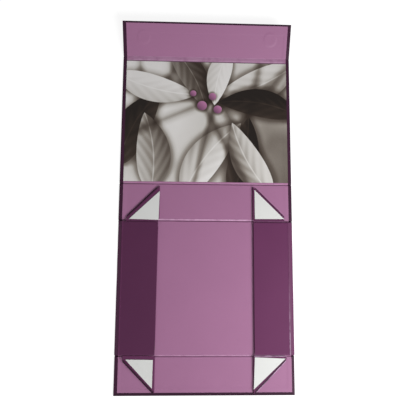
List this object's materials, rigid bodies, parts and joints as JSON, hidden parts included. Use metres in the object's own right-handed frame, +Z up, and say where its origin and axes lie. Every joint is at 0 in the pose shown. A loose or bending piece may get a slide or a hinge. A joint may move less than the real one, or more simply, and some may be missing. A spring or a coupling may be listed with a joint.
{
  "type": "magnetic gift box",
  "caption": "Fold-flat rigid gift box with a magnetic closing flap, lying open and flat, side walls folded in and taped corner tabs ready to be stuck",
  "frame": {"origin": "centre of the base panel's underside, on the surface that the open box lies on", "axes": "+X to the box's right side wall, +Y from the base to the back wall, lid and flap, +Z up out of the base"},
  "size_m": [0.225, 0.4829, 0.0211],
  "materials": {
    "outer_wrap": "dark plum wrapping paper, smooth, low sheen",
    "inner_liner": "mauve liner paper, smooth, satin",
    "lid_print": "printed coated paper in warm greys, satin",
    "grey_board": "dense grey board, raw",
    "tape": "double-sided adhesive film",
    "release_paper": "white silicone-coated release paper",
    "magnet": "nickel-plated magnet disc",
    "catch_plate": "plain steel disc"
  },
  "bodies": {
    "base": {"base_board": "grey_board", "base_wrap": "outer_wrap", "base_liner": "inner_liner", "front_crease_paper": "outer_wrap", "back_crease_paper": "outer_wrap", "left_fold_paper": "outer_wrap", "right_fold_paper": "outer_wrap"},
    "front_wall": {"front_wall_board": "grey_board", "front_wall_wrap": "outer_wrap", "front_wall_liner": "inner_liner", "catch_plate_left": "catch_plate", "catch_plate_right": "catch_plate", "front_left_hinge_paper": "outer_wrap", "front_right_hinge_paper": "outer_wrap"},
    "back_wall": {"back_wall_board": "grey_board", "back_wall_wrap": "outer_wrap", "back_wall_liner": "inner_liner", "lid_crease_paper": "outer_wrap", "back_left_hinge_paper": "outer_wrap", "back_right_hinge_paper": "outer_wrap"},
    "lid": {"lid_board": "grey_board", "lid_wrap": "outer_wrap", "lid_print": "lid_print", "flap_crease_paper": "outer_wrap"},
    "flap": {"flap_board": "grey_board", "flap_wrap": "outer_wrap", "flap_liner": "inner_liner", "magnet_left": "magnet", "magnet_right": "magnet"},
    "left_wall": {"left_wall_board": "grey_board", "left_wall_wrap": "outer_wrap", "left_wall_liner": "inner_liner", "front_left_corner_paper": "outer_wrap", "back_left_corner_paper": "outer_wrap"},
    "right_wall": {"right_wall_board": "grey_board", "right_wall_wrap": "outer_wrap", "right_wall_liner": "inner_liner", "front_right_corner_paper": "outer_wrap", "back_right_corner_paper": "outer_wrap"},
    "front_left_tab": {"front_left_tab_board": "grey_board", "front_left_tab_wrap": "outer_wrap", "front_left_tab_liner": "inner_liner", "front_left_tape": "tape", "front_left_release_paper": "release_paper"},
    "front_right_tab": {"front_right_tab_board": "grey_board", "front_right_tab_wrap": "outer_wrap", "front_right_tab_liner": "inner_liner", "front_right_tape": "tape", "front_right_release_paper": "release_paper"},
    "back_left_tab": {"back_left_tab_board": "grey_board", "back_left_tab_wrap": "outer_wrap", "back_left_tab_liner": "inner_liner", "back_left_tape": "tape", "back_left_release_paper": "release_paper"},
    "back_right_tab": {"back_right_tab_board": "grey_board", "back_right_tab_wrap": "outer_wrap", "back_right_tab_liner": "inner_liner", "back_right_tape": "tape", "back_right_release_paper": "release_paper"}
  },
  "joints": [
    {"name": "back_wall_fold", "type": "hinge", "parent": "base", "child": "back_wall", "pos_m": [0, 0.0862, 0], "axis": [1, 0, 0], "range_deg": [0, 90], "deforming": ["back_crease_paper"]},
    {"name": "lid_fold", "type": "hinge", "parent": "back_wall", "child": "lid", "pos_m": [0, 0.1349, 0], "axis": [1, 0, 0], "range_deg": [-90, 90], "deforming": ["lid_crease_paper"]},
    {"name": "flap_fold", "type": "hinge", "parent": "lid", "child": "flap", "pos_m": [0, 0.3099, 0], "axis": [1, 0, 0], "range_deg": [-25, 65], "deforming": ["flap_crease_paper"]},
    {"name": "front_wall_fold", "type": "hinge", "parent": "base", "child": "front_wall", "pos_m": [0, -0.0862, 0], "axis": [-1, 0, 0], "range_deg": [0, 90], "deforming": ["front_crease_paper"]},
    {"name": "left_wall_fold", "type": "hinge", "parent": "base", "child": "left_wall", "pos_m": [-0.1074, 0, 0.0003], "axis": [0, -1, 0], "range_deg": [0, 90], "deforming": ["left_fold_paper", "front_left_corner_paper", "back_left_corner_paper"]},
    {"name": "right_wall_fold", "type": "hinge", "parent": "base", "child": "right_wall", "pos_m": [0.1074, 0, 0.0003], "axis": [0, 1, 0], "range_deg": [0, 90], "deforming": ["right_fold_paper", "front_right_corner_paper", "back_right_corner_paper"]},
    {"name": "front_left_tab_fold", "type": "hinge", "parent": "front_wall", "child": "front_left_tab", "pos_m": [-0.1052, -0.0862, 0.00398], "axis": [0.7071, -0.7071, 0], "range_deg": [0, 180], "deforming": ["front_left_hinge_paper"]},
    {"name": "front_right_tab_fold", "type": "hinge", "parent": "front_wall", "child": "front_right_tab", "pos_m": [0.1052, -0.0862, 0.00398], "axis": [0.7071, 0.7071, 0], "range_deg": [0, 180], "deforming": ["front_right_hinge_paper"]},
    {"name": "back_left_tab_fold", "type": "hinge", "parent": "back_wall", "child": "back_left_tab", "pos_m": [-0.1052, 0.0862, 0.00398], "axis": [-0.7071, -0.7071, 0], "range_deg": [0, 180], "deforming": ["back_left_hinge_paper"]},
    {"name": "back_right_tab_fold", "type": "hinge", "parent": "back_wall", "child": "back_right_tab", "pos_m": [0.1052, 0.0862, 0.00398], "axis": [-0.7071, 0.7071, 0], "range_deg": [0, 180], "deforming": ["back_right_hinge_paper"]}
  ],
  "couplings": [
    {"joint": "front_wall_fold", "follows": "back_wall_fold", "ratio": 1},
    {"joint": "left_wall_fold", "follows": "back_wall_fold", "ratio": 1},
    {"joint": "right_wall_fold", "follows": "back_wall_fold", "ratio": 1},
    {"joint": "front_left_tab_fold", "follows": "back_wall_fold", "ratio": 2},
    {"joint": "front_right_tab_fold", "follows": "back_wall_fold", "ratio": 2},
    {"joint": "back_left_tab_fold", "follows": "back_wall_fold", "ratio": 2},
    {"joint": "back_right_tab_fold", "follows": "back_wall_fold", "ratio": 2}
  ]
}
